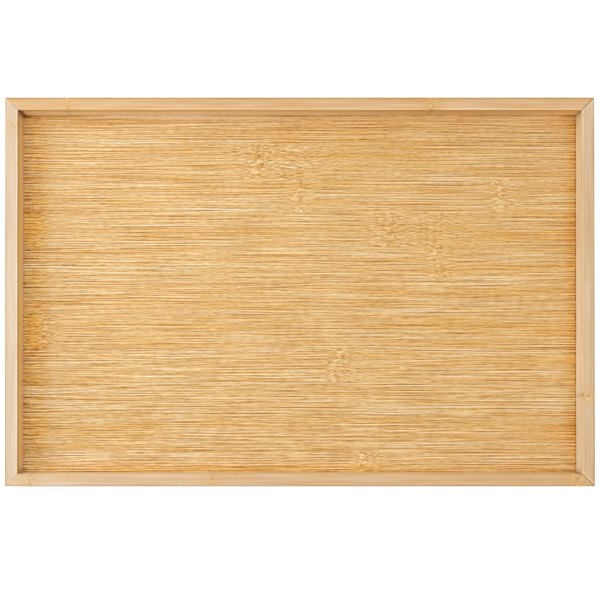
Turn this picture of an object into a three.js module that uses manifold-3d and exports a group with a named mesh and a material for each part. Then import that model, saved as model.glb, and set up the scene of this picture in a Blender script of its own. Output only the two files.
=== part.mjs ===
// Shallow rectangular bamboo tray. Four mitred rails stand round a base of edge-glued
// bamboo strips, which sits in a groove in the rails. A hidden spline crosses each mitre.
//
// Millimetres, +Z up. The origin is the middle of the tray, on the surface it stands on.
// X runs along the length, and Y from the front rail to the back rail.

import * as THREE from "three";
import { mergeVertices } from "three/addons/utils/BufferGeometryUtils.js";
import Module from "manifold-3d";

// Outside of the tray
const TRAY_LENGTH = 350;
const TRAY_WIDTH = 231;
const TRAY_HEIGHT = 20;

// Rails
const RAIL_THICKNESS = 7.5;
const RIM_RADIUS = 0.5; // both upper edges, sanded round
const FOOT_RADIUS = 0.5; // both lower edges
const CORNER_RADIUS = 0.6; // upright edge at each corner of the tray
const ARC_STEPS = 8; // facets in each rounded edge

// Base, and the strips that it is glued up from
const BASE_THICKNESS = 4;
const BASE_RISE = 2; // air under the base
const STRIP_WIDTH = 20.6;
const STRIP_GLUE_LINE = 0.03;

// Groove in the rails that holds the base
const GROOVE_DEPTH = 3.2;
const GROOVE_CLEARANCE = 0.1; // above and below the base
const GROOVE_END_GAP = 0.3; // between the edge of the base and the bottom of the groove

// Mitres, and the loose splines that lock them
const MITRE_GLUE_LINE = 0.06;
const SPLINE_THICKNESS = 1.6;
const SPLINE_REACH = 2.6; // into each rail, square to the mitre
const SPLINE_INSET = 0.7; // from the middle of the rail's thickness, towards the inside
const SPLINE_GROOVE_COVER = 1.8; // wood between the groove and the spline
const SPLINE_RIM_COVER = 4; // wood between the spline and the rim
const SPLINE_CLEARANCE = 0.1;

// Colours, lacquered bamboo
const FRONT_RAIL_COLOUR = 0xddb98d;
const BACK_RAIL_COLOUR = 0xe0bb8a;
const LEFT_RAIL_COLOUR = 0xe9d3b8;
const RIGHT_RAIL_COLOUR = 0xd9ba94;
const STRIP_COLOUR = 0xdeb377;
const SPLINE_COLOUR = 0xc99f68;
const STRIP_TONES = 5; // strips take turns through this many shades
const STRIP_TONE_STEP = 0.012; // in lightness
const LACQUER_ROUGHNESS = 0.45;
const RAW_ROUGHNESS = 0.8;

// Places that follow from the sizes above
const GROOVE_BOTTOM = BASE_RISE - GROOVE_CLEARANCE;
const GROOVE_TOP = BASE_RISE + BASE_THICKNESS + GROOVE_CLEARANCE;
const BASE_MARGIN = RAIL_THICKNESS - GROOVE_DEPTH + GROOVE_END_GAP; // outer face to edge of base
const BASE_LENGTH = TRAY_LENGTH - 2 * BASE_MARGIN;
const BASE_WIDTH = TRAY_WIDTH - 2 * BASE_MARGIN;
const MITRE_SETBACK = (MITRE_GLUE_LINE / 2) * Math.SQRT2; // along the rail
const SPLINE_DEPTH = RAIL_THICKNESS / 2 + SPLINE_INSET; // outer face to middle of spline
const SPLINE_BOTTOM = GROOVE_TOP + SPLINE_GROOVE_COVER;
const SPLINE_TOP = TRAY_HEIGHT - SPLINE_RIM_COVER;
const SPLINE_MIDDLE = (SPLINE_BOTTOM + SPLINE_TOP) / 2;

const wasm = await Module();
wasm.setup();

// A closed geometry as a solid that can be cut
function solidFrom(geometry) {
  const bare = geometry.clone();
  bare.deleteAttribute("normal");
  bare.deleteAttribute("uv");
  const merged = mergeVertices(bare);
  return new wasm.Manifold(
    new wasm.Mesh({
      numProp: 3,
      vertProperties: merged.attributes.position.array,
      triVerts: new Uint32Array(merged.index.array),
    }),
  );
}

function geometryFrom(solid) {
  const { vertProperties, triVerts } = solid.getMesh();
  const geometry = new THREE.BufferGeometry();
  geometry.setAttribute("position", new THREE.BufferAttribute(vertProperties, 3));
  geometry.setIndex(new THREE.BufferAttribute(triVerts, 1));
  const faceted = geometry.toNonIndexed();
  faceted.computeVertexNormals();
  return faceted;
}

function bamboo(colour, roughness = LACQUER_ROUGHNESS) {
  return new THREE.MeshStandardMaterial({ color: colour, roughness, metalness: 0 });
}

// Section of a rail: x is the depth in from the outer face, y the height
function railSection() {
  const quarter = Math.PI / 2;
  const section = new THREE.Shape();
  section.moveTo(FOOT_RADIUS, 0);
  section.lineTo(RAIL_THICKNESS - FOOT_RADIUS, 0);
  section.absarc(RAIL_THICKNESS - FOOT_RADIUS, FOOT_RADIUS, FOOT_RADIUS, -quarter, 0);
  section.lineTo(RAIL_THICKNESS, GROOVE_BOTTOM);
  section.lineTo(RAIL_THICKNESS - GROOVE_DEPTH, GROOVE_BOTTOM);
  section.lineTo(RAIL_THICKNESS - GROOVE_DEPTH, GROOVE_TOP);
  section.lineTo(RAIL_THICKNESS, GROOVE_TOP);
  section.lineTo(RAIL_THICKNESS, TRAY_HEIGHT - RIM_RADIUS);
  section.absarc(RAIL_THICKNESS - RIM_RADIUS, TRAY_HEIGHT - RIM_RADIUS, RIM_RADIUS, 0, quarter);
  section.lineTo(RIM_RADIUS, TRAY_HEIGHT);
  section.absarc(RIM_RADIUS, TRAY_HEIGHT - RIM_RADIUS, RIM_RADIUS, quarter, 2 * quarter);
  section.lineTo(0, FOOT_RADIUS);
  section.absarc(FOOT_RADIUS, FOOT_RADIUS, FOOT_RADIUS, 2 * quarter, 3 * quarter);
  return section;
}

// A straight length of rail along X, outer face on the XZ plane, depth along +Y
function railBlank(span) {
  const geometry = new THREE.ExtrudeGeometry(railSection(), {
    depth: span,
    curveSegments: ARC_STEPS / 2,
    bevelEnabled: false,
  });
  geometry.translate(0, 0, -span / 2);
  const along = new THREE.Vector3(1, 0, 0);
  const inwards = new THREE.Vector3(0, 1, 0);
  const up = new THREE.Vector3(0, 0, 1);
  return geometry.applyMatrix4(new THREE.Matrix4().makeBasis(inwards, up, along));
}

// Cuts both ends at 45 degrees: a point loses as much length as it lies deep
function mitreEnds(geometry, span) {
  const position = geometry.attributes.position;
  for (let i = 0; i < position.count; i += 1) {
    const end = Math.sign(position.getX(i));
    position.setX(i, end * (span / 2 - position.getY(i) - MITRE_SETBACK));
  }
  return geometry;
}

// Sands the upright edge at both ends round, by keeping what lies in a rounded outline
function roundCorners(rail, span) {
  const quarter = Math.PI / 2;
  const centre = span / 2 - CORNER_RADIUS;
  const outline = new THREE.Shape();
  outline.absarc(-centre, CORNER_RADIUS, CORNER_RADIUS, 2 * quarter, 3 * quarter);
  outline.absarc(centre, CORNER_RADIUS, CORNER_RADIUS, 3 * quarter, 4 * quarter);
  outline.lineTo(span / 2, RAIL_THICKNESS);
  outline.lineTo(-span / 2, RAIL_THICKNESS);
  const keep = new THREE.ExtrudeGeometry(outline, {
    depth: TRAY_HEIGHT,
    curveSegments: ARC_STEPS / 2,
    bevelEnabled: false,
  });
  return rail.intersect(solidFrom(keep));
}

// A spline with rounded upper and lower edges, or the slot for it with some clearance.
// Its thickness lies along X and its reach along Y, with its middle at the origin.
function splineBody(clearance) {
  const radius = SPLINE_THICKNESS / 2 + clearance;
  const halfHeight = (SPLINE_TOP - SPLINE_BOTTOM) / 2 + clearance;
  const reach = SPLINE_REACH + clearance;
  const section = new THREE.Shape();
  section.absarc(0, radius - halfHeight, radius, Math.PI, 2 * Math.PI);
  section.absarc(0, halfHeight - radius, radius, 0, Math.PI);
  const geometry = new THREE.ExtrudeGeometry(section, {
    depth: 2 * reach,
    curveSegments: ARC_STEPS / 2,
    bevelEnabled: false,
  });
  geometry.translate(0, 0, -reach);
  return geometry.rotateX(Math.PI / 2);
}

// Slots for the splines in both mitred ends of a rail
function cutSplineSlots(rail, span) {
  let slotted = rail;
  for (const end of [-1, 1]) {
    const slot = splineBody(SPLINE_CLEARANCE);
    slot.rotateZ(Math.atan2(-1, end));
    slot.translate(end * (span / 2 - SPLINE_DEPTH), SPLINE_DEPTH, SPLINE_MIDDLE);
    slotted = slotted.subtract(solidFrom(slot));
  }
  return slotted;
}

function makeRail(name, span, colour) {
  const mitred = solidFrom(mitreEnds(railBlank(span), span));
  const finished = cutSplineSlots(roundCorners(mitred, span), span);
  const rail = new THREE.Mesh(geometryFrom(finished), bamboo(colour));
  rail.name = name;
  return rail;
}

// The four rails, each turned so that its depth runs towards the middle of the tray
function makeFrame() {
  const frame = new THREE.Group();
  const front = makeRail("rail_front", TRAY_LENGTH, FRONT_RAIL_COLOUR);
  front.position.y = -TRAY_WIDTH / 2;
  const back = makeRail("rail_back", TRAY_LENGTH, BACK_RAIL_COLOUR);
  back.position.y = TRAY_WIDTH / 2;
  back.rotation.z = Math.PI;
  const left = makeRail("rail_left", TRAY_WIDTH, LEFT_RAIL_COLOUR);
  left.position.x = -TRAY_LENGTH / 2;
  left.rotation.z = -Math.PI / 2;
  const right = makeRail("rail_right", TRAY_WIDTH, RIGHT_RAIL_COLOUR);
  right.position.x = TRAY_LENGTH / 2;
  right.rotation.z = Math.PI / 2;
  return frame.add(front, back, left, right);
}

// One loose spline across each mitre
function makeSplines() {
  const splines = new THREE.Group();
  for (const [sideName, side] of [["front", -1], ["back", 1]]) {
    for (const [endName, end] of [["left", -1], ["right", 1]]) {
      const spline = new THREE.Mesh(splineBody(0), bamboo(SPLINE_COLOUR, RAW_ROUGHNESS));
      spline.name = `corner_spline_${sideName}_${endName}`;
      spline.rotation.z = Math.atan2(side, end);
      spline.position.set(
        end * (TRAY_LENGTH / 2 - SPLINE_DEPTH),
        side * (TRAY_WIDTH / 2 - SPLINE_DEPTH),
        SPLINE_MIDDLE,
      );
      splines.add(spline);
    }
  }
  return splines;
}

// The base: full strips from the back edge, and one ripped to what is left at the front
function makeBase() {
  const base = new THREE.Group();
  const count = Math.ceil(BASE_WIDTH / STRIP_WIDTH);
  for (let i = 0; i < count; i += 1) {
    const backEdge = BASE_WIDTH / 2 - i * STRIP_WIDTH;
    const frontEdge = Math.max(backEdge - STRIP_WIDTH + STRIP_GLUE_LINE, -BASE_WIDTH / 2);
    const tone = STRIP_TONE_STEP * (((i * 2) % STRIP_TONES) - (STRIP_TONES - 1) / 2);
    const colour = new THREE.Color(STRIP_COLOUR).offsetHSL(0, 0, tone);
    const geometry = new THREE.BoxGeometry(BASE_LENGTH, backEdge - frontEdge, BASE_THICKNESS);
    const strip = new THREE.Mesh(geometry, bamboo(colour));
    strip.name = `base_strip_${String(i + 1).padStart(2, "0")}`;
    strip.position.set(0, (backEdge + frontEdge) / 2, BASE_RISE + BASE_THICKNESS / 2);
    base.add(strip);
  }
  return base;
}

const tray = new THREE.Group();
tray.add(makeFrame(), makeSplines(), makeBase());

export default tray;
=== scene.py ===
"""A shallow bamboo tray: a base of edge-glued bamboo strips held in four mitred bamboo rails."""
import math

import bpy
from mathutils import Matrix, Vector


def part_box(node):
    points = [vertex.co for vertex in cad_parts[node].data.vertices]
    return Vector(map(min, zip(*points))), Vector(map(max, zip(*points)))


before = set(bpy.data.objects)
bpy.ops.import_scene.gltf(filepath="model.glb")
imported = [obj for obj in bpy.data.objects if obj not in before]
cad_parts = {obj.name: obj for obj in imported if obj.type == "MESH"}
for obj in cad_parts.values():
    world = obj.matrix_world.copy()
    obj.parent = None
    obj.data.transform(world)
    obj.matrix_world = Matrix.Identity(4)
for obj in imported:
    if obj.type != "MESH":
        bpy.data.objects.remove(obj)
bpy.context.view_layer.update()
bpy.ops.object.select_all(action="DESELECT")


# Base strips
# Eleven flat strips split from bamboo culms, glued edge to edge and sanded flush into one thin board.
# Clear satin lacquer. Fibres run along the length, and ripple round each node of the culm.
def paint(red, green, blue):
    """A colour given as the eye sees it, 0 to 255, in the linear form that shaders take."""
    linear = []
    for part in (red, green, blue):
        share = part / 255
        linear.append(share / 12.92 if share <= 0.04045 else ((share + 0.055) / 1.055) ** 2.4)
    return (*linear, 1.0)


def add(tree, kind, inputs=None, **settings):
    """Add a shader node. Inputs are numbers, vectors or other nodes' outlets."""
    made = tree.nodes.new("ShaderNode" + kind)
    for name, value in settings.items():
        setattr(made, name, value)
    for socket, value in (inputs or {}).items():
        if isinstance(value, bpy.types.NodeSocket):
            tree.links.new(value, made.inputs[socket])
        else:
            made.inputs[socket].default_value = value
    return made


def calc(tree, operation, first, second=0.0, third=0.0):
    """One sum on shader values."""
    made = add(tree, "Math", {0: first, 1: second, 2: third}, operation=operation)
    return made.outputs[0]


def shift(tree, place, offset):
    """A place moved by an offset, which may itself be a shader value."""
    return add(tree, "VectorMath", {0: place, 1: offset}, operation="ADD").outputs[0]


def stepped(step, count):
    """An offset of so many steps, which sets one pattern apart from the next."""
    return tuple(part * count for part in step)


def drawn_out(tree, place, along, across):
    """A place scaled so that one unit is this long along the fibres and this wide across them."""
    scale = (1 / along, 1 / across, 1 / across)
    return add(tree, "VectorMath", {0: place, 1: scale}, operation="MULTIPLY").outputs[0]


def streaks(tree, place, along, across, detail=0.0):
    """Noise around zero, drawn out along the fibres to streaks of about this size."""
    drawn = drawn_out(tree, place, along, across)
    noise = add(tree, "TexNoise", {"Vector": drawn, "Scale": 1.0, "Detail": detail})
    return calc(tree, "SUBTRACT", noise.outputs[0], 0.5)


def wander(tree, place, sizes, detail=0.0):
    """Streaks around zero, from their length, their width and their strength."""
    length, width, strength = sizes
    return calc(tree, "MULTIPLY", streaks(tree, place, length, width, detail), strength)


def fade(tree, value, full, gone):
    """1 where a value has reached full, 0 where it has reached gone, and smooth between."""
    made = add(
        tree,
        "MapRange",
        {"Value": value, "From Min": gone, "From Max": full},
        interpolation_type="SMOOTHSTEP",
    )
    return made.outputs[0]


def share_along(tree, value, half_length):
    """0 at the lower end of a length about the middle, and 1 at the upper end."""
    ends = {"Value": value, "From Min": -half_length, "From Max": half_length}
    return add(tree, "MapRange", ends).outputs[0]


def mix_values(tree, share, first, second):
    """A mix of two numbers."""
    return add(tree, "Mix", {0: share, 2: first, 3: second}).outputs[0]


def mix_colours(tree, share, first, second, blend="MIX"):
    """A mix of two colours."""
    made = add(tree, "Mix", {0: share, 6: first, 7: second}, data_type="RGBA", blend_type=blend)
    return made.outputs[2]


def tinted(tree, colour, drift, tint):
    """A colour moved along a tint by a drift around zero."""
    factor = add(tree, "CombineColor")
    for socket, strength in zip(factor.inputs, tint):
        tree.links.new(calc(tree, "MULTIPLY_ADD", drift, strength, 1.0), socket)
    return mix_colours(tree, 1.0, colour, factor.outputs[0], "MULTIPLY")


def tone_ramp(tree, value, stops):
    """A colour picked from a row of stops, each a place and a colour. The first two are the row's ends."""
    ramp = add(tree, "ValToRGB", {0: value})
    row = ramp.color_ramp.elements
    for index, (stop, colour) in enumerate(stops):
        element = row[index] if index < 2 else row.new(stop)
        element.position = stop
        element.color = colour
    return ramp.outputs[0]


def raise_grain(tree, shader, tone, bump):
    """Pale fibres stand a little proud. The bump is its strength and its height."""
    strength, height = bump
    raised = add(tree, "Bump", {"Height": tone, "Strength": strength, "Distance": height})
    tree.links.new(raised.outputs[0], shader.inputs["Normal"])


LACQUER_SHINE = 0.5
LACQUER_ROUGHNESS = 0.40
SANDED_SHINE = 0.2


def lacquered(name, shine=LACQUER_SHINE):
    """A satin lacquered material, with its node tree and its shader."""
    made = bpy.data.materials.new(name)
    made.use_nodes = True
    shader = made.node_tree.nodes["Principled BSDF"]
    shader.inputs["Specular IOR Level"].default_value = shine
    shader.inputs["Roughness"].default_value = LACQUER_ROUGHNESS
    return made, made.node_tree, shader


DASH_CORE = (0.08, 0.45)


def dashes(tree, place, length, pitch):
    """Fibre bundles as separate dashes, from 0 beside a dash to its own strength in the middle."""
    drawn = drawn_out(tree, place, length, pitch)
    cells = add(tree, "TexVoronoi", {"Vector": drawn, "Scale": 1.0}, voronoi_dimensions="2D")
    own = add(tree, "SeparateColor", {0: cells.outputs["Color"]}).outputs[0]
    return calc(tree, "MULTIPLY", fade(tree, cells.outputs["Distance"], *DASH_CORE), own)


# Tones of the fibres, from the dark bundles to the pale pith between them
MIDDLE_TONE = 0.5
FIBRE_TONES = [
    (0.00, paint(166, 108, 50)),
    (1.00, paint(246, 221, 175)),
    (0.10, paint(191, 133, 55)),
    (0.30, paint(211, 159, 83)),
    (0.50, paint(224, 180, 115)),
    (0.70, paint(234, 199, 146)),
    (0.90, paint(242, 216, 168)),
]
STRIP_BUMP = (0.15, 0.00008)

# Streaks and dashes: their length along the fibres, their width across, and their strength. The first two
# kinds of streak in a bundle have a flank of the other tone on both sides.
LONG_STREAK = (0.115, 0.00034, 1.17)
MIDDLE_STREAK = (0.026, 0.00030, 1.12)
SHORT_STREAK = (0.0045, 0.00034, 0.74)
PORE_STREAK = (0.0008, 0.00040, 0.58)
FLANKED_STREAKS = 2
FLANK_OFFSET = 0.00080
FLANK_SHARE = 0.36
DARK_DASH = (0.062, 0.00070, 0.31)
PALE_DASH = (0.050, 0.00075, 0.30)
RIPPLED_STREAK = (0.0036, 0.00034, 1.25)
RIPPLED_DARK = (0.0044, 0.00080, 0.40)
RIPPLED_PALE = (0.0050, 0.00085, 0.24)
PALE_PATCH = (0.0130, 0.0036, 0.65)
PATCH_TONE = 0.72
# How far the fibres sway along a strip, and how far they ripple near a node
SWAY = (0.120, 0.020, 0.0012)
RIPPLE = (0.0042, 0.0022, 0.0011)
# Offsets that set the patterns of the strips, and of the kinds of streak, apart
STRIP_STEP = (0.61, 0.17, 0.05)
STREAK_STEP = (0.3, 0.7, 0.1)
PALE_DASH_STEP = (0.9, 0.4, 0.0)
RIPPLED_STEP = (0.5, 0.2, 0.6)

# Drifts of colour: the sizes of their streaks, the tint they move along, and how creamy each strip is
CREAM = (0.070, 0.00220)
BROAD_CREAM = (0.160, 0.00600)
CREAM_TINT = (0.05, 0.36, 1.05)
STRIP_CREAM = {
    1: -0.02,
    2: -0.01,
    4: 0.02,
    5: 0.06,
    6: -0.05,
    7: -0.09,
    8: -0.05,
    9: 0.10,
    10: -0.08,
    11: 0.27,
}
HONEY = (0.030, 0.00120)
HONEY_TINT = (0.14, 0.04, -0.28)
# Tints of the board at its left and right ends: painted light, paler and cooler towards the left end,
# where the light falls strongest
BOARD_ENDS = ((1.03, 1.09, 1.16, 1.0), (1.02, 1.005, 0.98, 1.0))

# Culm nodes: the strip, the place along it, how far the fibres ripple to the left and right, and where the
# dark pits stand beside it
CULM_NODES = [
    (2, -0.0266, 0.016, 0.050, 0.0021),
    (3, -0.0011, 0.006, 0.008, 0.0021),
    (3, 0.1196, 0.006, 0.014, -0.0018),
    (4, 0.0547, 0.014, 0.045, 0.0024),
    (5, 0.0820, 0.006, 0.010, 0.0021),
    (7, -0.1540, 0.010, 0.008, -0.0014),
    (8, 0.0232, 0.006, 0.016, -0.0032),
    (11, 0.0383, 0.006, 0.012, 0.0016),
]
# Places where the fibres ripple beside a node that the sawing left in the next strip, and how strongly
RIPPLED_PLACES = [
    (2, 0.0610, 0.014, 0.014, 0.5),
    (4, -0.1610, 0.006, 0.009, 0.6),
    (5, -0.0510, 0.010, 0.010, 0.5),
    (6, -0.0510, 0.010, 0.010, 0.5),
    (10, 0.1460, 0.012, 0.012, 0.5),
]
RIPPLE_FULL = 0.5
RIPPLE_GONE = 1.7
NODE_WANDER = (10.0, 0.007, 0.010)
NODE_WIDTH = (0.0018, 0.0036)
NODE_TONE = 0.40
NODE_STREAK = (0.002, 0.0006, 1.3)
NODE_SHARE = 0.8
# Pale lenses in a column along the node, and the dark pits beside it
LENS_SIZE = (0.0095, 0.0025)
LENS_COLUMN = 0.5
LENS_ROW = 20.0
LENS_SCATTER = 0.55
LENS_CORE = (0.12, 0.40)
LENS_PALER = 0.44
PIT_SPACING = 0.0026
PIT_BAND = (0.0003, 0.0010)
PIT_CORE = (0.08, 0.20)
PITS_KEPT = (0.55, 0.40)
PIT_BROWN = paint(124, 62, 6)

# Half the length and half the width of the well between the rails
WELL_HALF_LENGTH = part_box("rail_right")[0].x
WELL_HALF_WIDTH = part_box("rail_back")[0].y
# Towards the two end walls: how much starker the lines grow, how far out and about which tone, how deep the
# painted warm shade along the wall is and how far it reaches, and how plain the dark seam is, which is
# partly a glue joint and partly painted shade
STRIP_ENDS = {
    "left": {
        "starker": 2.8,
        "reach": (0.0, 0.016),
        "middle": 0.44,
        "shade_depth": 1.12,
        "painted_shade": (0.0050, 0.0185),
        "seam_and_shade": 0.10,
    },
    "right": {
        "starker": 0.35,
        "reach": (0.0, 0.006),
        "middle": 0.72,
        "shade_depth": 0.62,
        "painted_shade": (0.0005, 0.0090),
        "seam_and_shade": 0.68,
    },
}
# Where the fibres ripple, their lines grow less stark there
RIPPLE_CALM = -0.6
# Painted warm shade along the front wall, the amber of all the painted shade by the walls, and how little of
# it pale fibres take. The amber's red, a little above 1, paints some light back at the foot of the walls.
FRONT_PAINTED_SHADE = (0.0010, 0.0050)
FRONT_PAINTED_SHADE_DEPTH = 0.65
PAINTED_SHADE_AMBER = (1.04, 0.80, 0.15, 1.0)
PAINTED_SHADE_SHARE = 1.20
PAINTED_SHADE_PALER = -0.68

# Dark seams at the foot of the walls, in broken lines, partly glue joints and partly painted shade where the
# floor meets the walls. The back one is broad near the left corner, and thin with a pale line beside it
# further along.
SEAM_AND_SHADE_BROWN = paint(100, 50, 2)
SEAM_AND_SHADE_WIDTH = (0.0002, 0.0011)
SEAM_BREAK = (0.0060, 0.0016)
SEAM_BREAK_SHIFT = (0.009, 0, 0)
SEAM_FAINT = 0.4
SEAM_PLAINER = 0.7
DOT_EDGE = (0.10, -0.10)
FRONT_SEAM_AND_SHADE_STRENGTH = 0.25
BACK_SEAM_REACH = (0.008, 0.034)
BACK_SEAM_WIDTH = (0.0007, 0.0016)
BACK_SEAM_STRENGTH = 0.85
THIN_SEAM_AND_SHADE_WIDTH = (0.0003, 0.0009)
THIN_SEAM_AND_SHADE_STRENGTH = 0.40
PALE_LINE_PLACE = 0.0013
PALE_LINE_WIDTH = (0.0003, 0.0009)
PALE_LINE_STRENGTH = 0.45
PALE_LINE = paint(246, 203, 134)

# Pale lilac dots at the foot of the back wall, in its left half
PALE_DOTS_WIDTH = (0.0010, 0.0018)
PALE_DOT_SIZE = (0.0016, 0.0009)
PALE_DOTS_LEFT = (-0.105, -0.137)
PALE_DOTS_RIGHT = (-0.085, 0.012)
PALE_DOTS_FAINT = 0.40
PALE_DOTS_PLAINER = 0.50
PALE_DOT_LILAC = paint(240, 220, 200)


def fibre_tone(tree, place, noises, dark, pale):
    """The tone of a bundle of fibres: soft streaks with dark and pale dashes among them."""
    tone = MIDDLE_TONE
    for index, (length, width, strength) in enumerate(noises):
        apart = shift(tree, place, stepped(STREAK_STEP, index))
        tone = calc(tree, "MULTIPLY_ADD", streaks(tree, apart, length, width), strength, tone)
        if index < FLANKED_STREAKS:
            for side in (-FLANK_OFFSET, FLANK_OFFSET):
                flank = streaks(tree, shift(tree, apart, (0, side, 0)), length, width)
                tone = calc(tree, "MULTIPLY_ADD", flank, -FLANK_SHARE * strength, tone)
    tone = calc(tree, "MULTIPLY_ADD", dashes(tree, place, *dark[:2]), -dark[2], tone)
    other = shift(tree, place, PALE_DASH_STEP)
    return calc(tree, "MULTIPLY_ADD", dashes(tree, other, *pale[:2]), pale[2], tone)


def near_nodes(tree, number, seeded, along, across):
    """How strongly a place ripples, how near it is to a culm node, and the node's lenses and row of pits."""
    wandering = calc(tree, "ADD", along, wander(tree, seeded, NODE_WANDER))
    figure = 0.0
    column = 0.0
    lens = 0.0
    pits = 0.0
    for has_node, rows in ((True, CULM_NODES), (False, RIPPLED_PLACES)):
        for strip_number, node_x, reach_left, reach_right, own in rows:
            if strip_number != number:
                continue
            from_node = calc(tree, "SUBTRACT", wandering, node_x)
            left = fade(tree, from_node, -RIPPLE_FULL * reach_left, -RIPPLE_GONE * reach_left)
            right = fade(tree, from_node, RIPPLE_FULL * reach_right, RIPPLE_GONE * reach_right)
            reached = calc(tree, "MULTIPLY", left, right)
            if not has_node:
                figure = calc(tree, "MAXIMUM", figure, calc(tree, "MULTIPLY", reached, own))
                continue
            figure = calc(tree, "MAXIMUM", figure, reached)
            aside = calc(tree, "ABSOLUTE", from_node)
            column = calc(tree, "MAXIMUM", column, fade(tree, aside, *NODE_WIDTH))
            lens_length, lens_width = LENS_SIZE
            spot = add(
                tree,
                "CombineXYZ",
                {
                    "X": calc(tree, "MULTIPLY_ADD", from_node, 1 / lens_length, LENS_COLUMN),
                    "Y": calc(tree, "MULTIPLY_ADD", across, 1 / lens_width, LENS_ROW + number),
                },
            )
            cells = add(
                tree,
                "TexVoronoi",
                {"Vector": spot.outputs[0], "Scale": 1.0, "Randomness": LENS_SCATTER},
                voronoi_dimensions="2D",
            )
            lens = calc(tree, "MAXIMUM", lens, fade(tree, cells.outputs["Distance"], *LENS_CORE))
            beside = calc(tree, "ABSOLUTE", calc(tree, "SUBTRACT", from_node, own))
            pits = calc(tree, "MAXIMUM", pits, fade(tree, beside, *PIT_BAND))
    return figure, column, lens, pits


def by_walls(tree, colour, tone, seeded, along, from_ends, world_y):
    """A strip's colour with what is painted by the walls: warm painted shade, dark seams that are partly
    painted shade, and pale lilac dots.
    """
    from_front = calc(tree, "ADD", WELL_HALF_WIDTH, world_y)
    from_back = calc(tree, "SUBTRACT", WELL_HALF_WIDTH, world_y)
    near_corner = fade(tree, from_ends["left"], *BACK_SEAM_REACH)

    # Painted warm shade along the walls, which shows as amber, most of all on the dark fibres
    painted_shade = calc(tree, "MULTIPLY", fade(tree, from_front, *FRONT_PAINTED_SHADE), FRONT_PAINTED_SHADE_DEPTH)
    for side, from_end in from_ends.items():
        end = STRIP_ENDS[side]
        end_painted_shade = calc(tree, "MULTIPLY", fade(tree, from_end, *end["painted_shade"]), end["shade_depth"])
        painted_shade = calc(tree, "MAXIMUM", painted_shade, end_painted_shade)
    painted_shade = calc(tree, "MULTIPLY", painted_shade, calc(tree, "MULTIPLY_ADD", tone, PAINTED_SHADE_PALER, PAINTED_SHADE_SHARE))
    colour = mix_colours(tree, painted_shade, colour, PAINTED_SHADE_AMBER, "MULTIPLY")

    # The pale line, and the seams with their painted shade
    beside_line = calc(tree, "ABSOLUTE", calc(tree, "SUBTRACT", from_back, PALE_LINE_PLACE))
    pale_line = calc(tree, "MULTIPLY", fade(tree, beside_line, *PALE_LINE_WIDTH), PALE_LINE_STRENGTH)
    pale_line = calc(tree, "MULTIPLY", pale_line, calc(tree, "SUBTRACT", 1.0, near_corner))
    colour = mix_colours(tree, pale_line, colour, PALE_LINE)
    seam_and_shade = calc(tree, "MULTIPLY", fade(tree, from_back, *BACK_SEAM_WIDTH), near_corner)
    seam_and_shade = calc(tree, "MULTIPLY", seam_and_shade, BACK_SEAM_STRENGTH)
    lines = [
        (from_back, THIN_SEAM_AND_SHADE_WIDTH, THIN_SEAM_AND_SHADE_STRENGTH),
        (from_front, SEAM_AND_SHADE_WIDTH, FRONT_SEAM_AND_SHADE_STRENGTH),
    ]
    for side, from_end in from_ends.items():
        lines.append((from_end, SEAM_AND_SHADE_WIDTH, STRIP_ENDS[side]["seam_and_shade"]))
    for from_wall, width, strength in lines:
        line = calc(tree, "MULTIPLY", fade(tree, from_wall, *width), strength)
        seam_and_shade = calc(tree, "MAXIMUM", seam_and_shade, line)
    breaks = streaks(tree, shift(tree, seeded, SEAM_BREAK_SHIFT), *SEAM_BREAK)
    broken = fade(tree, breaks, *DOT_EDGE)
    seam_and_shade = calc(tree, "MULTIPLY", seam_and_shade, calc(tree, "MULTIPLY_ADD", broken, SEAM_PLAINER, SEAM_FAINT))
    colour = mix_colours(tree, seam_and_shade, colour, SEAM_AND_SHADE_BROWN)

    # The pale lilac dots
    pale_dots = calc(tree, "MULTIPLY", fade(tree, along, *PALE_DOTS_LEFT), fade(tree, along, *PALE_DOTS_RIGHT))
    pale_dots = calc(tree, "MULTIPLY", pale_dots, fade(tree, from_back, *PALE_DOTS_WIDTH))
    dots = fade(tree, streaks(tree, seeded, *PALE_DOT_SIZE), *DOT_EDGE)
    dotted = calc(tree, "MULTIPLY_ADD", dots, PALE_DOTS_PLAINER, PALE_DOTS_FAINT)
    return mix_colours(tree, calc(tree, "MULTIPLY", pale_dots, dotted), colour, PALE_DOT_LILAC)


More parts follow.
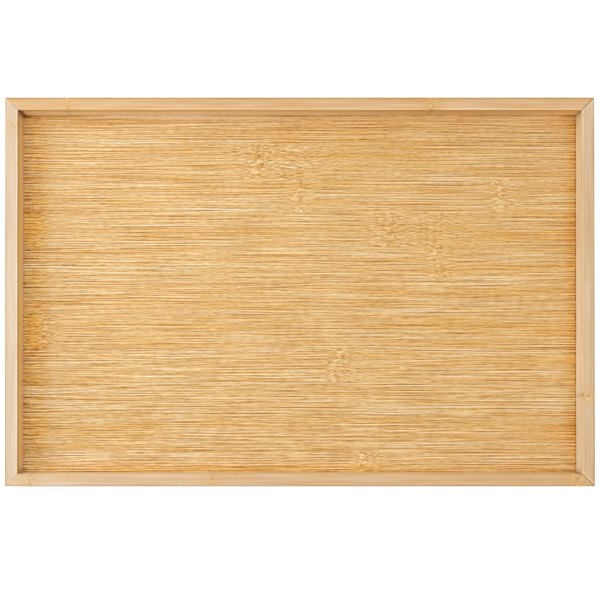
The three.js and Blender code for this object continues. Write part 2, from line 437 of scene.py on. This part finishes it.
def strip_bamboo(number, centre_y):
    """Flat-pressed bamboo, with its own fibres and culm nodes for each strip."""
    material, tree, shader = lacquered(f"strip_bamboo_{number:02d}", SANDED_SHINE)
    position = add(tree, "TexCoord").outputs["Object"]
    place = add(tree, "Mapping", {"Vector": position, "Location": (0, -centre_y, 0)}).outputs[0]
    local = add(tree, "SeparateXYZ", {0: place}).outputs
    along = local["X"]
    across = local["Y"]
    seeded = shift(tree, place, stepped(STRIP_STEP, number))
    figure, column, lens, pits = near_nodes(tree, number, seeded, along, across)

    # Fibres, which sway along the strip and ripple near a node
    sway = wander(tree, seeded, SWAY)
    ripple = wander(tree, seeded, RIPPLE)
    moved = calc(tree, "MULTIPLY_ADD", ripple, figure, sway)
    bent = shift(tree, seeded, add(tree, "CombineXYZ", {"Y": moved}).outputs[0])
    noises = (LONG_STREAK, MIDDLE_STREAK, SHORT_STREAK, PORE_STREAK)
    tone = fibre_tone(tree, bent, noises, DARK_DASH, PALE_DASH)
    if figure != 0.0:
        apart = shift(tree, bent, RIPPLED_STEP)
        rippled = fibre_tone(tree, apart, (RIPPLED_STREAK,), RIPPLED_DARK, RIPPLED_PALE)
        patch = calc(tree, "MULTIPLY", dashes(tree, apart, *PALE_PATCH[:2]), PALE_PATCH[2])
        rippled = mix_values(tree, patch, rippled, PATCH_TONE)
        tone = mix_values(tree, figure, tone, rippled)
    if column != 0.0:
        node_tone = calc(tree, "MULTIPLY_ADD", lens, LENS_PALER, NODE_TONE)
        node_tone = calc(tree, "ADD", node_tone, wander(tree, seeded, NODE_STREAK))
        tone = mix_values(tree, calc(tree, "MULTIPLY", column, NODE_SHARE), tone, node_tone)
    from_ends = {
        "left": calc(tree, "ADD", WELL_HALF_LENGTH, along),
        "right": calc(tree, "SUBTRACT", WELL_HALF_LENGTH, along),
    }
    for side, from_end in from_ends.items():
        end = STRIP_ENDS[side]
        reached = fade(tree, from_end, *end["reach"])
        if figure != 0.0:
            calm = calc(tree, "MULTIPLY_ADD", figure, RIPPLE_CALM, 1.0)
            reached = calc(tree, "MULTIPLY", reached, calm)
        starker = calc(tree, "MULTIPLY_ADD", reached, end["starker"], 1.0)
        apart = calc(tree, "SUBTRACT", tone, end["middle"])
        tone = calc(tree, "MULTIPLY_ADD", apart, starker, end["middle"])
    colour = tone_ramp(tree, tone, FIBRE_TONES)

    # Slow drifts of colour between amber and cream, with finer flecks of honey
    cream = calc(tree, "ADD", streaks(tree, seeded, *CREAM, detail=1.0), STRIP_CREAM.get(number, 0.0))
    cream = calc(tree, "ADD", cream, streaks(tree, seeded, *BROAD_CREAM, detail=1.0))
    colour = tinted(tree, colour, cream, CREAM_TINT)
    colour = tinted(tree, colour, streaks(tree, seeded, *HONEY), HONEY_TINT)

    # A slow change of tint from the left end to the right, plainest on the pale fibres: painted light, paler
    # towards the left end
    board_tint = mix_colours(tree, share_along(tree, along, WELL_HALF_LENGTH), *BOARD_ENDS)
    colour = mix_colours(tree, tone, colour, board_tint, "MULTIPLY")

    world_y = calc(tree, "ADD", across, centre_y)
    colour = by_walls(tree, colour, tone, seeded, along, from_ends, world_y)
    if column != 0.0:
        spots = add(
            tree, "TexVoronoi", {"Vector": seeded, "Scale": 1 / PIT_SPACING}, voronoi_dimensions="2D"
        )
        own = add(tree, "SeparateColor", {0: spots.outputs["Color"]}).outputs[0]
        pit = calc(tree, "MULTIPLY", fade(tree, spots.outputs["Distance"], *PIT_CORE), pits)
        pit = calc(tree, "MULTIPLY", pit, fade(tree, own, *PITS_KEPT))
        colour = mix_colours(tree, pit, colour, PIT_BROWN)
    tree.links.new(colour, shader.inputs["Base Color"])
    raise_grain(tree, shader, tone, STRIP_BUMP)
    return material


strip_names = sorted(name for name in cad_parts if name.startswith("base_strip"))
for number, strip_name in enumerate(strip_names, start=1):
    low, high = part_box(strip_name)
    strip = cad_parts[strip_name]
    strip.material_slots[0].material = strip_bamboo(number, (low.y + high.y) / 2)


# Rails
# Four solid bamboo sticks on edge, moulded with a groove for the base and eased along the rim.
# Their ends are mitred and glued at the corners, under the same clear lacquer.
RAIL_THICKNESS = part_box("rail_right")[1].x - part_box("rail_right")[0].x
RIM_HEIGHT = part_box("rail_left")[1].z
FLOOR_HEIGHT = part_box("base_strip_01")[1].z

# Where the faces begin: shares of the rail's thickness from its outer face in, and depths below the rim
INNER_FACE = (0.995, 0.975)
OUTER_FACE = (0.01, 0.03)
BELOW_ARRIS = (0.0010, 0.0004)
OFF_TOP = (0.0006, 0.0002)
# Where each tone stands across the top, from the outer face in, and up the wall, from the floor to the rim.
# The arris tone is a painted highlight along the inner rounding, and the edge tone painted shade along the
# outer rounding.
TOP_ROW = (
    (0.10, "edge_shade"),
    (0.99, "arris_highlight"),
    (0.17, "outer"),
    (0.36, "top"),
    (0.86, "top"),
    (0.92, "arris_highlight"),
)
WALL_ROW = ((0.08, "foot"), (0.86, "under_rim"), (0.20, "wall"))

# Fibres: the length, width and strength of their streaks, and the tones between which they run
RAIL_STREAK = (0.040, 0.00150, 1.0)
RAIL_FINE_STREAK = (0.040, 0.00080, 0.9)
RAIL_SIDE_STREAK = (0.060, 0.00045, 0.8)
RAIL_SIDE_BAND = (0.045, 0.00250, 0.7)
RAIL_STEP = 0.37
RAIL_STREAK_STEP = (0.4, 0.2, 0.0)
RAIL_DARK = (0.86, 0.75, 0.60, 1.0)
RAIL_PALE = (1.07, 1.12, 1.22, 1.0)
RAIL_CREAM = (0.030, 0.00280)
RAIL_CREAM_TINT = (0.04, 0.28, 0.75)
RAIL_BUMP = (0.2, 0.00006)
ROUGHNESS_DRIFT = 0.3

# Culm nodes: amber round them, straw swirls and brown specks across the top, and a brown line down the sides
RAIL_NODE_WANDER = (10.0, 0.0025, 0.008)
SIDE_NODE_WANDER = (10.0, 0.012, 0.005)
NODE_SPOT = (0.0024, 0.0005)
STRAW_SPOTS = (0.09, 0.0)
BROWN_SPOTS = (-0.10, -0.03)
NODE_AMBER = paint(206, 150, 70)
NODE_STRAW = paint(250, 216, 142)
NODE_BROWN = paint(142, 80, 6)
AMBER_REACH = (0.0010, 0.0095)
AMBER_STRENGTH = 0.50
STRAW_REACH = (0.0008, 0.0060)
STRAW_STRENGTH = 0.75
BROWN_REACH = (0.0004, 0.0022)
BROWN_STRENGTH = 1.0
SIDE_LINE_REACH = (0.0002, 0.0022)
SIDE_LINE_STRENGTH = 0.35

# Glue at the mitres, with a painted highlight as a pale line beside it on the end rails, and ragged in the
# inside corners, where the dark is partly glue and partly painted shade
JOINT_AND_CORNER_SHADE_BROWN = paint(120, 66, 0)
JOINT_ROUGHNESS = 0.9
GLUE_WIDTH = (0.00004, 0.00024)
MITRE_HIGHLIGHT_CREAM = paint(244, 216, 172)
MITRE_HIGHLIGHT_PLACE = 0.0010
MITRE_HIGHLIGHT_WIDTH = (0.0003, 0.0014)
MITRE_HIGHLIGHT_STRENGTH = 0.6
CORNER_GLUE_AND_SHADE_REACH = (0.0006, 0.0036)
CORNER_RAGGED = (0.004, 0.0012, 0.004)

# Each rail: its turn, the tones of the rows above, and how high on the wall the shade under the rim begins.
# The wall tones differ from rail to rail partly as painted light and shade: darker under the left rim, and
# paler on the right wall, which faces the light. Then the strength of its grain and of its drift of colour,
# and its culm nodes with their strength. Last its tints along the top and along the wall, partly its own
# drift of colour and partly painted light and shade, of which the first two are those at its ends, and how
# plainly the glue shows at its two ends, on top (joints) and inside (corners, partly painted shade).
RAILS = {
    "rail_front": {
        "turn": 0,
        "edge_shade": paint(192, 160, 120),
        "outer": paint(219, 183, 136),
        "top": paint(217, 182, 135),
        "arris_highlight": paint(222, 183, 132),
        "under_rim": paint(222, 188, 136),
        "wall": paint(230, 199, 151),
        "foot": paint(230, 200, 154),
        "shade_from": 0.70,
        "grain": 1.3,
        "drift": 1.0,
        "nodes": ((-0.1597, 0.5), (-0.0525, 0.35), (0.1638, 0.85)),
        "top_tints": ((0.0, (1.07, 1.19, 1.44, 1.0)), (1.0, (0.95, 0.88, 0.77, 1.0))),
        "wall_tints": ((0.0, (1.06, 1.14, 1.24, 1.0)), (1.0, (0.94, 0.92, 0.90, 1.0))),
        "joints": (0.1, 0.5),
        "corners": (0.2, 0.5),
    },
    "rail_back": {
        "turn": 180,
        "edge_shade": paint(186, 146, 92),
        "outer": paint(219, 172, 112),
        "top": paint(220, 181, 129),
        "arris_highlight": paint(236, 198, 148),
        "under_rim": paint(208, 159, 84),
        "wall": paint(236, 200, 146),
        "foot": paint(230, 187, 132),
        "shade_from": 0.50,
        "grain": 1.0,
        "drift": 1.0,
        "nodes": ((0.138, 0.5), (-0.0784, 0.9)),
        "top_tints": ((0.0, (1.07, 1.11, 1.26, 1.0)), (1.0, (0.94, 0.95, 0.94, 1.0))),
        "wall_tints": (
            (0.0, (1.16, 1.16, 1.05, 1.0)),
            (1.0, (1.11, 1.23, 1.40, 1.0)),
            (0.13, (0.85, 0.78, 0.63, 1.0)),
            (0.30, (0.86, 0.80, 0.66, 1.0)),
            (0.44, (0.97, 1.01, 1.06, 1.0)),
        ),
        "joints": (0.70, 0.25),
        "corners": (0.0, 0.95),
    },
    "rail_left": {
        "turn": 90,
        "edge_shade": paint(196, 168, 134),
        "outer": paint(218, 195, 165),
        "top": paint(217, 197, 171),
        "arris_highlight": paint(247, 230, 203),
        "under_rim": paint(176, 124, 62),
        "wall": paint(233, 195, 131),
        "foot": paint(230, 192, 144),
        "shade_from": 0.70,
        "grain": 0.75,
        "drift": 0.6,
        "nodes": ((-0.099, 0.45),),
        "top_tints": ((0.0, (0.97, 0.94, 0.87, 1.0)), (1.0, (1.04, 1.06, 1.08, 1.0))),
        "wall_tints": ((0.0, (1.0, 1.07, 1.20, 1.0)), (1.0, (1.0, 1.04, 1.10, 1.0))),
        "joints": (0.25, 0.1),
        "corners": (0.6, 0.4),
    },
    "rail_right": {
        "turn": -90,
        "edge_shade": paint(190, 164, 128),
        "outer": paint(216, 184, 144),
        "top": paint(216, 184, 145),
        "arris_highlight": paint(222, 191, 149),
        "under_rim": paint(230, 206, 168),
        "wall": paint(236, 220, 192),
        "foot": paint(255, 240, 208),
        # The right wall's pale foot is a painted highlight, a bright line where the wall meets the floor
        "shade_from": 0.70,
        "grain": 1.2,
        "drift": 0.6,
        "nodes": ((-0.0622, 0.75),),
        "top_tints": (
            (0.0, (0.98, 0.99, 1.0, 1.0)),
            (1.0, (1.14, 1.25, 1.52, 1.0)),
            (0.85, (1.05, 1.08, 1.15, 1.0)),
        ),
        "wall_tints": ((0.0, (1.0, 1.02, 1.05, 1.0)), (1.0, (0.93, 0.88, 0.73, 1.0))),
        "joints": (0.5, 0.70),
        "corners": (0.3, 0.3),
    },
}


def rail_bamboo(rail_name):
    """Solid bamboo with the fibres along the rail. Y runs in from the outer face of the rail."""
    look = RAILS[rail_name]
    material, tree, shader = lacquered(rail_name + "_bamboo")
    low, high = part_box(rail_name)
    lengthwise = look["turn"] in (0, 180)
    half_length = high.x if lengthwise else high.y
    outer_face = max(abs(low.y), abs(high.y)) if lengthwise else max(abs(low.x), abs(high.x))
    position = add(tree, "TexCoord").outputs["Object"]
    turned = (0, 0, math.radians(look["turn"]))
    place = add(
        tree, "Mapping", {"Vector": position, "Location": (0, outer_face, 0), "Rotation": turned}
    ).outputs[0]
    local = add(tree, "SeparateXYZ", {0: place}).outputs
    depth = calc(tree, "DIVIDE", local["Y"], RAIL_THICKNESS)
    above_floor = calc(tree, "SUBTRACT", local["Z"], FLOOR_HEIGHT)
    height = calc(tree, "DIVIDE", above_floor, RIM_HEIGHT - FLOOR_HEIGHT)
    below_rim = calc(tree, "SUBTRACT", RIM_HEIGHT, local["Z"])
    seeded = shift(tree, place, (RAIL_STEP * look["turn"], 0.0, 0.0))

    # Tones across the top, with a painted highlight on the inner rounding and painted shade on the outer
    # one, and down the wall inside, where the tones carry painted light and shade
    top_stops = [(stop, look[tone_name]) for stop, tone_name in TOP_ROW]
    wall_stops = [(stop, look[tone_name]) for stop, tone_name in WALL_ROW]
    wall_stops.append((look["shade_from"], look["wall"]))
    inside = fade(tree, depth, *INNER_FACE)
    on_wall = calc(tree, "MULTIPLY", inside, fade(tree, below_rim, *BELOW_ARRIS))
    colour = tone_ramp(tree, depth, top_stops)
    colour = mix_colours(tree, on_wall, colour, tone_ramp(tree, height, wall_stops))
    # The tints along the rail are partly its own drift of colour and partly painted light and shade
    share = share_along(tree, local["X"], half_length)
    top_tint = tone_ramp(tree, share, look["top_tints"])
    wall_tint = tone_ramp(tree, share, look["wall_tints"])
    tint = mix_colours(tree, on_wall, top_tint, wall_tint)
    colour = mix_colours(tree, 1.0, colour, tint, "MULTIPLY")
    off_top = fade(tree, below_rim, *OFF_TOP)
    on_top = calc(tree, "SUBTRACT", 1.0, off_top)
    outside = calc(tree, "MULTIPLY", off_top, fade(tree, depth, *OUTER_FACE))
    colour = mix_colours(tree, outside, colour, look["top"])

    # Fibres along the rail, plainer down its sides, with slow drifts of colour
    tone = MIDDLE_TONE
    for index, (length, width, strength) in enumerate((RAIL_STREAK, RAIL_FINE_STREAK)):
        apart = shift(tree, seeded, stepped(RAIL_STREAK_STEP, index))
        streak = streaks(tree, apart, length, width, detail=1.0)
        tone = calc(tree, "MULTIPLY_ADD", streak, strength * look["grain"], tone)
    for sizes in (RAIL_SIDE_STREAK, RAIL_SIDE_BAND):
        tone = calc(tree, "MULTIPLY_ADD", wander(tree, seeded, sizes), off_top, tone)
    grain = mix_colours(tree, tone, RAIL_DARK, RAIL_PALE)
    colour = mix_colours(tree, 1.0, colour, grain, "MULTIPLY")
    cream = calc(tree, "MULTIPLY", streaks(tree, seeded, *RAIL_CREAM, detail=1.0), look["drift"])
    colour = tinted(tree, colour, cream, RAIL_CREAM_TINT)

    # Culm nodes, each mark with the line it follows, its colour, its reach, where it shows and how strongly
    across_top = calc(tree, "ADD", local["X"], wander(tree, seeded, RAIL_NODE_WANDER, detail=1.0))
    down_side = calc(tree, "ADD", local["X"], wander(tree, seeded, SIDE_NODE_WANDER))
    spots = streaks(tree, seeded, *NODE_SPOT, detail=1.0)
    straw_spots = calc(tree, "MULTIPLY", fade(tree, spots, *STRAW_SPOTS), on_top)
    brown_spots = calc(tree, "MULTIPLY", fade(tree, spots, *BROWN_SPOTS), on_top)
    marks = (
        (across_top, NODE_AMBER, AMBER_REACH, on_top, AMBER_STRENGTH),
        (across_top, NODE_STRAW, STRAW_REACH, straw_spots, STRAW_STRENGTH),
        (across_top, NODE_BROWN, BROWN_REACH, brown_spots, BROWN_STRENGTH),
        (down_side, NODE_BROWN, SIDE_LINE_REACH, off_top, SIDE_LINE_STRENGTH),
    )
    for node_x, node_strength in look["nodes"]:
        for line, mark_colour, reach, shown, mark_strength in marks:
            from_node = calc(tree, "ABSOLUTE", calc(tree, "SUBTRACT", line, node_x))
            near = calc(tree, "MULTIPLY", fade(tree, from_node, *reach), mark_strength * node_strength)
            colour = mix_colours(tree, calc(tree, "MULTIPLY", near, shown), colour, mark_colour)

    # Glue line at the mitres, with a painted highlight as a pale line beside it on the end rails, and darker
    # down the inside corners, partly glue and partly painted shade
    from_end = calc(tree, "SUBTRACT", half_length, calc(tree, "ABSOLUTE", local["X"]))
    from_mitre = calc(tree, "SUBTRACT", from_end, local["Y"])
    far_end = calc(tree, "GREATER_THAN", local["X"], 0.0)
    plainness = mix_values(tree, far_end, *look["joints"])
    if not lengthwise:
        beside = calc(tree, "ABSOLUTE", calc(tree, "SUBTRACT", from_mitre, MITRE_HIGHLIGHT_PLACE))
        mitre_highlight = calc(tree, "MULTIPLY", fade(tree, beside, *MITRE_HIGHLIGHT_WIDTH), plainness)
        colour = mix_colours(tree, calc(tree, "MULTIPLY", mitre_highlight, MITRE_HIGHLIGHT_STRENGTH), colour, MITRE_HIGHLIGHT_CREAM)
    glue_and_shade = calc(tree, "MULTIPLY", fade(tree, from_mitre, *GLUE_WIDTH), plainness)
    darkness = mix_values(tree, far_end, *look["corners"])
    ragged = calc(tree, "ADD", from_mitre, wander(tree, seeded, CORNER_RAGGED))
    corner = calc(tree, "MULTIPLY", fade(tree, ragged, *CORNER_GLUE_AND_SHADE_REACH), on_wall)
    glue_and_shade = calc(tree, "MAXIMUM", glue_and_shade, calc(tree, "MULTIPLY", corner, darkness))
    colour = mix_colours(tree, glue_and_shade, colour, JOINT_AND_CORNER_SHADE_BROWN)
    tree.links.new(colour, shader.inputs["Base Color"])

    roughness = calc(tree, "MULTIPLY_ADD", cream, ROUGHNESS_DRIFT, LACQUER_ROUGHNESS)
    roughness = mix_values(tree, glue_and_shade, roughness, JOINT_ROUGHNESS)
    tree.links.new(roughness, shader.inputs["Roughness"])
    raise_grain(tree, shader, tone, RAIL_BUMP)
    return material


for rail_name in RAILS:
    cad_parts[rail_name].material_slots[0].material = rail_bamboo(rail_name)


# Corner splines
# Thin slips of raw bamboo glued into a slot across each mitre, hidden inside the corner.
RAW_DARK = paint(176, 124, 62)
RAW_PALE = paint(226, 184, 122)
RAW_ROUGHNESS = 0.7
RAW_STREAK = (0.0200, 0.0005)
RAW_BUMP = (0.3, 0.0001)
raw_bamboo = bpy.data.materials.new("raw_bamboo_slip")
raw_bamboo.use_nodes = True
tree = raw_bamboo.node_tree
shader = tree.nodes["Principled BSDF"]
shader.inputs["Roughness"].default_value = RAW_ROUGHNESS
position = add(tree, "TexCoord").outputs["Object"]
tone = calc(tree, "ADD", streaks(tree, position, *RAW_STREAK, detail=2.0), MIDDLE_TONE)
tree.links.new(mix_colours(tree, tone, RAW_DARK, RAW_PALE), shader.inputs["Base Color"])
raise_grain(tree, shader, tone, RAW_BUMP)
for name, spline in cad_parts.items():
    if name.startswith("corner_spline"):
        spline.material_slots[0].material = raw_bamboo


# Floor and backdrop
# A white sweep under the tray, bright to the eye, which keeps a soft shadow at the tray's foot.
def seen_directly(tree):
    """1 for what the camera sees straight, in a reflection or through glass."""
    rays = add(tree, "LightPath").outputs
    seen = calc(tree, "MAXIMUM", rays["Is Camera Ray"], rays["Is Glossy Ray"])
    return calc(tree, "MAXIMUM", seen, rays["Is Transmission Ray"])


FLOOR_SIZE = 8.0
FLOOR_DROP = 0.0002
FLOOR_WHITE = (0.8, 0.8, 0.8, 1.0)
FLOOR_GLOW = 0.8
bpy.ops.mesh.primitive_plane_add(size=FLOOR_SIZE, location=(0, 0, -FLOOR_DROP))
floor = bpy.context.object
floor.name = "floor"
bpy.ops.object.transform_apply(location=True)
floor_paint = bpy.data.materials.new("white_floor")
floor_paint.use_nodes = True
tree = floor_paint.node_tree
tree.nodes.clear()
matt = add(tree, "BsdfDiffuse", {"Color": FLOOR_WHITE})
glow = add(tree, "Emission", {"Strength": calc(tree, "MULTIPLY", seen_directly(tree), FLOOR_GLOW)})
both = add(tree, "AddShader", {0: matt.outputs[0], 1: glow.outputs[0]})
add(tree, "OutputMaterial", {"Surface": both.outputs[0]})
floor.data.materials.append(floor_paint)

ROOM_OVERHEAD = 0.21
ROOM_SIDES = 0.93
BACKDROP_GLOW = 1.05
world = bpy.data.worlds.new("white_room")
bpy.context.scene.world = world
world.use_nodes = True
tree = world.node_tree
room = tree.nodes["Background"]
room.inputs["Color"].default_value = (1, 1, 1, 1)
upward = add(tree, "SeparateXYZ", {0: add(tree, "TexCoord").outputs["Generated"]}).outputs["Z"]
sides = calc(tree, "SUBTRACT", 1.0, calc(tree, "MAXIMUM", upward, 0.0))
ambient = calc(tree, "MULTIPLY_ADD", sides, ROOM_SIDES, ROOM_OVERHEAD)
backdrop = mix_values(tree, seen_directly(tree), ambient, BACKDROP_GLOW)
tree.links.new(backdrop, room.inputs["Strength"])


# Lights
# Three soft boxes: two over the tray, at the back left and the front right, and a broad one from the left.
SOFT_BOXES = {
    "key_soft_box": {
        "place": (-0.38, 0.12, 0.50),
        "size": (0.45, 0.60),
        "tint": (0.97, 1.0, 1.05),
        "power": 1.65,
    },
    "fill_soft_box": {
        "place": (0.47, -0.18, 0.82),
        "size": (0.50, 0.70),
        "tint": (1.10, 0.98, 0.77),
        "power": 1.88,
    },
    "side_soft_box": {
        "place": (-1.35, 0.45, 0.57),
        "size": (1.20, 0.80),
        "tint": (1.0, 1.0, 1.0),
        "power": 5.1,
    },
}
for name, box in SOFT_BOXES.items():
    light = bpy.data.lights.new(name, "AREA")
    light.shape = "RECTANGLE"
    light.size, light.size_y = box["size"]
    light.energy = box["power"]
    light.color = box["tint"]
    holder = bpy.data.objects.new(name, light)
    bpy.context.scene.collection.objects.link(holder)
    holder.visible_camera = False
    holder.location = box["place"]
    holder.rotation_euler = (-holder.location).to_track_quat("-Z", "Y").to_euler()


# Camera
# Straight above the front half of the tray, as the photograph was taken, with the view shifted back.
CAMERA_PLACE = (-0.005, -0.052, 0.657)
CAMERA_TILT = 0.0061
CAMERA_LENS = 64.5
CAMERA_SENSOR = 36
CAMERA_SHIFT = (0.0144, 0.1214)
view = bpy.data.cameras.new("camera")
view.lens = CAMERA_LENS
view.sensor_width = CAMERA_SENSOR
view.shift_x, view.shift_y = CAMERA_SHIFT
camera = bpy.data.objects.new("camera", view)
camera.location = CAMERA_PLACE
camera.rotation_euler = (CAMERA_TILT, 0, 0)
bpy.context.scene.collection.objects.link(camera)
bpy.context.scene.camera = camera
bpy.context.scene.view_settings.view_transform = "Standard"
